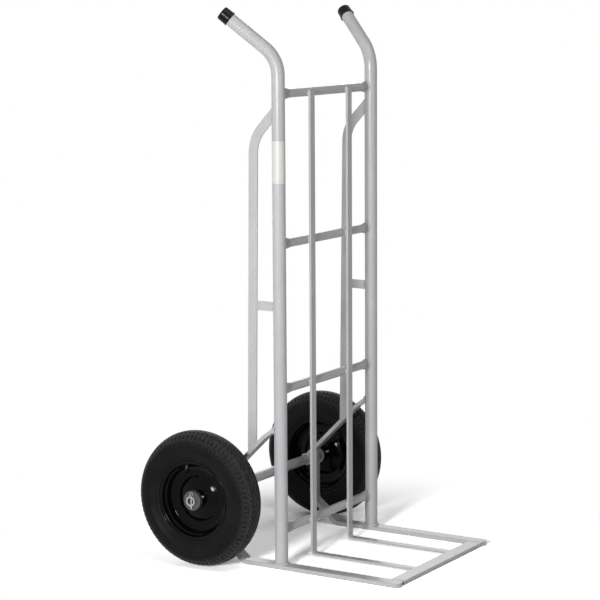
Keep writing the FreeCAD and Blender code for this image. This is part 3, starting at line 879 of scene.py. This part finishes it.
class TRUCK_OT_handle_caps(bpy.types.Operator):
    """Makes the dipped vinyl caps on the handles' ends"""
    bl_idname = "hand_truck.handle_caps"
    bl_label = "Handle Caps"

    def execute(self, context):
        sizes = settings().frame_sizes
        bore = sizes.upright_radius + CAP_FIT
        floor = CAP_LENGTH - CAP_END_WALL
        outside = rounded(CAP_SIDE, CAP_RADII)
        inside = [(floor, POLE), (floor, bore), (0.0, bore)]
        section = outside[:-1] + [(CAP_LENGTH, POLE)] + inside
        for side_name, side in SIDES.items():
            mesh = revolved(section, settings().rims.segments)
            piece = mesh_object(f"cap_{side_name}", mesh, "cap_plastic", 50.0)
            x, y = upright_line(side)
            flat = math.sin(sizes.handle_bend)
            along = Vector((side * flat * math.sin(sizes.handle_splay),
                            flat * math.cos(sizes.handle_splay), math.cos(sizes.handle_bend)))
            start = Vector((x, y, sizes.bend_height)) + along * (sizes.handle_length - CAP_LENGTH)
            turn = X_AXIS.rotation_difference(along)
            piece.matrix_world = Matrix.Translation(start) @ turn.to_matrix().to_4x4()
            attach(piece, FRAME_BODY)
            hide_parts(f"handle_cap_{side_name}")
        return {"FINISHED"}


# ---- tyres ----

# Points (distance from the tyre's middle, radius) of one half's outline.
TYRE_RADIUS = 0.1685
TYRE_HALF = 0.044
TREAD_HALF = 0.031
TREAD_EDGE = (TREAD_HALF, 0.1565)
WIDEST = (TYRE_HALF, 0.126)
BEAD_FOOT = (0.035, 0.103)
BEAD_SEAT = 0.0932
# Shares of one tread pitch where a section stands, and those with a fine shoulder rib.
COLUMNS = (0.03, 0.08, 0.18, 0.28, 0.38, 0.43, 0.58, 0.68, 0.78, 0.83)
RIBBED = (0.03, 0.08, 0.38, 0.68)


def zigzag(share):
    """Sideways swing of the grooves, from -1 to 1, at a share of one pitch."""
    return 1 - 4 * abs(((share - 0.18) % 1.0) - 0.5)


def notched(share, side):
    """1 in a shoulder notch, 0 on a block. The two sides are half a pitch apart."""
    share = share if side > 0 else (share + 0.5) % 1.0
    return 1.0 if 0.42 < share < 0.79 else 0.0


def tread_radius(x):
    """Radius of the tread's crowned face at a distance from its middle."""
    crown = (0.0, TYRE_RADIUS)
    through = (TREAD_HALF * 0.6, TYRE_RADIUS - 0.0041)
    points = arc_through(crown, through, TREAD_EDGE, 32)
    for (x0, r0), (x1, r1) in zip(points, points[1:]):
        if x <= x1 or x1 == points[-1][0]:
            return r0 + (r1 - r0) * (x - x0) / (x1 - x0)
    return TREAD_EDGE[1]


def tread_rows(share, side):
    """Points (x, radius) across half the tread at one share of a pitch, from the middle out."""
    sizes = settings().tyres
    swing = sizes.zigzag * zigzag(share)
    notch = sizes.notch_depth * notched(share, side)
    # Each station: distance from the middle, 1 where it follows the zigzag, and its depth.
    stations = (
        (0.0042, 1, 0.0), (0.0048, 1, sizes.groove_depth * 0.5), (0.0062, 1, sizes.groove_depth * 0.5),
        (0.0068, 1, 0.0), (0.0118, 1, 0.0), (0.0126, 1, sizes.groove_depth),
        (0.0156, 1, sizes.groove_depth), (0.0164, 1, 0.0), (0.0220, 0, 0.0), (0.0232, 0, notch),
        (0.0270, 0, notch), (0.0305, 0, notch),
    )
    rows = []
    for x, swings, depth in stations:
        place = x + swing * swings * side
        rows.append((place, tread_radius(place) - depth))
    return rows


def side_rows(share, side, ribbed):
    """Points (x, radius) down the shoulder and sidewall, to the foot of the bead."""
    sizes = settings().tyres
    notch = sizes.notch_depth * notched(share, side)
    shoulder = arc_through(TREAD_EDGE, (0.04062, 0.1443), WIDEST, 12)
    flank = arc_through(WIDEST, (0.0412, 0.1145), BEAD_FOOT, 14)
    rows = []
    for i, (x, r) in enumerate(shoulder[1:]):
        lift = sizes.rib_height * (ribbed if 2 <= i <= 6 else 0.0)
        # The notches run out over the shoulder's first two points.
        cut = notch * max(0.0, 0.4 - i * 0.3)
        rows.append((x + lift - cut * 0.5, r - cut + lift * 0.5))
    # Rings moulded proud of the flank: two thin ones, and the broad one over the rim.
    raised = {2: 0.0009, 3: 0.0009, 6: 0.0005, 9: 0.0007, 10: 0.0012, 11: 0.0012}
    for i, (x, r) in enumerate(flank[1:]):
        rows.append((x + raised.get(i, 0.0), r))
    return rows


def bead_rows():
    """Points (x, radius) from the bead's foot, round its seat and up the inside of one side."""
    wall = settings().tyres.wall
    return [(0.0342, 0.1008), (0.0336, 0.0990), (0.0334, BEAD_SEAT), (0.0240, BEAD_SEAT),
            (0.0226, 0.0950), (0.0270, 0.1040), (0.0340, 0.1140), (TYRE_HALF - wall, 0.1260),
            (0.0345, 0.1400), (0.0260, 0.1505), (0.0120, 0.1590)]


def tyre_bmesh():
    """Whole tyre about the X axis: zigzag tread, ribbed shoulders, stepped sidewalls, open inside."""
    sizes = settings().tyres
    bm = bmesh.new()
    rings = []
    for pitch in range(sizes.pitches):
        for share in COLUMNS:
            angle = 2 * math.pi * (pitch + share) / sizes.pitches
            ribbed = 1.0 if share in RIBBED else 0.0
            halves = {}
            for side in (-1, 1):
                rows = tread_rows(share, side) + side_rows(share, side, ribbed) + bead_rows()
                halves[side] = [(side * x, r) for x, r in rows]
            section = halves[-1][::-1] + [(0.0, TYRE_RADIUS)] + halves[1]
            section.append((0.0, TYRE_RADIUS - sizes.wall))
            c, s = math.cos(angle), math.sin(angle)
            rings.append([bm.verts.new((x, r * s, r * c)) for x, r in section])
    close_rings(bm, rings)
    return bm


class TRUCK_OT_tyres(bpy.types.Operator):
    """Makes the two moulded tyres"""
    bl_idname = "hand_truck.tyres"
    bl_label = "Tyres"

    def execute(self, context):
        first = None
        for side_name in SIDES:
            name = f"moulded_tyre_{side_name}"
            if first is None:
                piece = mesh_object(name, tyre_bmesh(), "tyre_rubber", 32.0)
                first = piece.data
            else:
                piece = object_for(name, first, "tyre_rubber")
            piece.location = wheel_centre(side_name)
            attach(piece, f"wheel_{side_name}")
            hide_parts(f"tyre_{side_name}")
        return {"FINISHED"}


# ---- rims ----

# Points (distance from the wheel's middle, radius) from the rim's lip in to the hub.
RIM_FACE = (
    (0.0325, 0.1004), (0.0343, 0.0996), (0.0345, 0.0972), (0.0330, 0.0950), (0.0318, 0.0905),
    (0.0240, 0.0885), (0.0205, 0.0848), (0.0085, 0.0800), (0.0052, 0.0712), (0.0042, 0.0575),
    (0.0068, 0.0535), (0.0095, 0.0480), (0.0132, 0.0340), (0.0150, 0.0212),
)
RIM_RADII = (0.001, 0.0012, 0.002, 0.003, 0.004, 0.004, 0.004, 0.005, 0.004, 0.003, 0.004, 0.030)


class TRUCK_OT_rims(bpy.types.Operator):
    """Makes the pressed rim halves, stepped down to the hub"""
    bl_idname = "hand_truck.rims"
    bl_label = "Rims"

    def execute(self, context):
        sizes = settings().rims
        face = rounded(RIM_FACE, RIM_RADII)
        back = offset_line(face, -sizes.sheet)
        for side_name in SIDES:
            for half, mirror in (("a", -1), ("b", 1)):
                inner = [(max(x, 0.0003), r) for x, r in back[::-1]]
                section = [(mirror * x, r) for x, r in face + inner]
                piece = mesh_object(f"rim_{half}_{side_name}", revolved(section, sizes.segments),
                                    "black_enamel", 50.0)
                piece.location = wheel_centre(side_name)
                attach(piece, f"wheel_{side_name}")
                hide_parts(f"rim_half_{half}_{side_name}")
        return {"FINISHED"}


# ---- stage ----

# Place, target and side of each square lamp.
KEY_LAMP = ((-5.2, -0.9, 1.6), (0.0, 0.0, 0.6), 0.85)
TOP_LAMP = ((-0.9, -1.6, 4.1), (0.0, 0.0, 0.4), 1.8)
FILL_LAMP = ((4.2, 2.6, 2.6), (0.0, 0.0, 0.6), 2.2)
FLOOR_DROP = 0.0003
SHADOWS_KEPT_TO, WHITE_FROM = 0.38, 0.86
SENSOR_WIDTH = 36.0

def seen_directly(tree):
    """1 on rays from the camera, and on those mirrored or let through towards it."""
    rays = add_node(tree, "ShaderNodeLightPath").outputs
    total = rays["Is Camera Ray"]
    for name in ("Is Glossy Ray", "Is Transmission Ray"):
        total = add_node(tree, "ShaderNodeMath", operation="ADD", use_clamp=True,
                         links={0: total, 1: rays[name]}).outputs[0]
    return total


def stage_material():
    """White floor, exposed up to plain white where it is seen, with the shadows kept."""
    stage = settings().stage
    material, tree, place = new_material("white_floor")
    seen = seen_directly(tree)
    distance = add_node(tree, "ShaderNodeVectorMath", operation="LENGTH", links={0: place})
    # Only the soft shadows close to the truck are kept: past them the floor is plain white.
    far = add_node(tree, "ShaderNodeMapRange",
                   {"From Min": SHADOWS_KEPT_TO, "From Max": WHITE_FROM},
                   {"Value": distance.outputs["Value"]}, interpolation_type="SMOOTHSTEP")
    gain = add_node(tree, "ShaderNodeMapRange", {"To Min": stage.floor_gain, "To Max": 0.0},
                    {"Value": far.outputs["Result"]})
    paleness = add_node(tree, "ShaderNodeMix", {"A": 0.9},
                        {"Factor": seen, "B": gain.outputs["Result"]}, data_type="FLOAT")
    strength = add_node(tree, "ShaderNodeMath", operation="MULTIPLY",
                        links={0: seen, 1: far.outputs["Result"]})
    diffuse = add_node(tree, "ShaderNodeBsdfDiffuse", links={"Color": paleness.outputs["Result"]})
    glow = add_node(tree, "ShaderNodeEmission", {"Color": linear("#FFFFFF")},
                    {"Strength": strength.outputs[0]})
    both = add_node(tree, "ShaderNodeAddShader",
                    links={0: diffuse.outputs["BSDF"], 1: glow.outputs["Emission"]})
    add_node(tree, "ShaderNodeOutputMaterial", links={"Surface": both.outputs["Shader"]})
    return material


def light_world():
    """Even light all round, white where the camera or a mirror sees it."""
    stage = settings().stage
    world = bpy.data.worlds.new("studio")
    bpy.context.scene.world = world
    world.use_nodes = True
    tree = world.node_tree
    tree.nodes.clear()
    level = add_node(tree, "ShaderNodeMapRange", {"To Min": stage.world_level, "To Max": 1.0},
                     {"Value": seen_directly(tree)})
    sky = add_node(tree, "ShaderNodeBackground", {"Color": linear("#FFFFFF")},
                   {"Strength": level.outputs["Result"]})
    add_node(tree, "ShaderNodeOutputWorld", links={"Surface": sky.outputs["Background"]})


def soft_lamp(name, place, target, size, energy):
    """Square area lamp that faces a point."""
    data = bpy.data.lights.new(name, "AREA")
    data.size = size
    data.energy = energy
    lamp = bpy.data.objects.new(name, data)
    bpy.context.scene.collection.objects.link(lamp)
    lamp.location = place
    lamp.rotation_mode = "QUATERNION"
    lamp.rotation_quaternion = (Vector(target) - Vector(place)).to_track_quat("-Z", "Y")


def place_camera():
    """Camera at the left front, a little above the truck."""
    stage = settings().stage
    data = bpy.data.cameras.new("camera")
    data.lens = stage.lens
    data.sensor_width = SENSOR_WIDTH
    camera = bpy.data.objects.new("camera", data)
    bpy.context.scene.collection.objects.link(camera)
    dip, turn = stage.camera_dip, stage.camera_turn
    ahead = Vector((-math.sin(turn) * math.cos(dip), math.cos(turn) * math.cos(dip), -math.sin(dip)))
    right = ahead.cross(Z_AXIS).normalized()
    up = right.cross(ahead)
    c, s = math.cos(stage.camera_roll), math.sin(stage.camera_roll)
    rolled_right = right * c + up * s
    rolled_up = up * c - right * s
    rotation = Matrix((rolled_right, rolled_up, -ahead)).transposed().to_4x4()
    place = Matrix.Translation((stage.camera_place_x, stage.camera_place_y, stage.camera_place_z))
    camera.matrix_world = place @ rotation
    data.clip_start, data.clip_end = 0.1, 100.0
    bpy.context.scene.camera = camera


class TRUCK_OT_stage(bpy.types.Operator):
    """Sets up the floor, lamps and camera"""
    bl_idname = "hand_truck.stage"
    bl_label = "Stage"

    def execute(self, context):
        stage = settings().stage
        bpy.ops.mesh.primitive_circle_add(vertices=96, radius=stage.floor_radius, fill_type="NGON",
                                          location=(0, 0, -FLOOR_DROP))
        floor = context.object
        floor.name = "floor"
        floor.data.materials.append(stage_material())
        soft_lamp("key_lamp", *KEY_LAMP, stage.key_energy)
        soft_lamp("top_lamp", *TOP_LAMP, stage.top_energy)
        soft_lamp("fill_lamp", *FILL_LAMP, stage.fill_energy)
        light_world()
        place_camera()
        context.scene.view_settings.view_transform = "Standard"
        return {"FINISHED"}


# ---- panel and registration ----

OPERATORS = (TRUCK_OT_steelwork, TRUCK_OT_welds, TRUCK_OT_cupped_washers, TRUCK_OT_handle_caps,
             TRUCK_OT_tyres, TRUCK_OT_rims, TRUCK_OT_stage)
GROUPS = (FrameSizes, WeldSizes, TyreSizes, RimSizes, Finishes, StageSettings, TruckSettings)


class TRUCK_PT_panel(bpy.types.Panel):
    """Buttons and settings of the hand truck"""
    bl_idname = "TRUCK_PT_panel"
    bl_label = "Hand Truck"
    bl_space_type = "VIEW_3D"
    bl_region_type = "UI"
    bl_category = "Hand Truck"

    def draw(self, context):
        layout = self.layout
        for operator in OPERATORS:
            layout.operator(operator.bl_idname)
        truck = context.scene.hand_truck
        for group in ("frame_sizes", "welds", "tyres", "rims", "finishes", "stage"):
            box = layout.box()
            box.label(text=group.replace("_", " ").capitalize())
            values = getattr(truck, group)
            for name in values.__annotations__:
                box.prop(values, name)


def register():
    """Registers every class and the scene's settings."""
    for item in GROUPS + OPERATORS + (TRUCK_PT_panel,):
        bpy.utils.register_class(item)
    bpy.types.Scene.hand_truck = PointerProperty(type=TruckSettings)


def unregister():
    """Undoes register."""
    del bpy.types.Scene.hand_truck
    for item in reversed(GROUPS + OPERATORS + (TRUCK_PT_panel,)):
        bpy.utils.unregister_class(item)


def main():
    register()
    bpy.ops.hand_truck.steelwork()
    bpy.ops.hand_truck.welds()
    bpy.ops.hand_truck.cupped_washers()
    bpy.ops.hand_truck.handle_caps()
    bpy.ops.hand_truck.tyres()
    bpy.ops.hand_truck.rims()
    bpy.ops.hand_truck.stage()


if __name__ == "__main__":
    main()
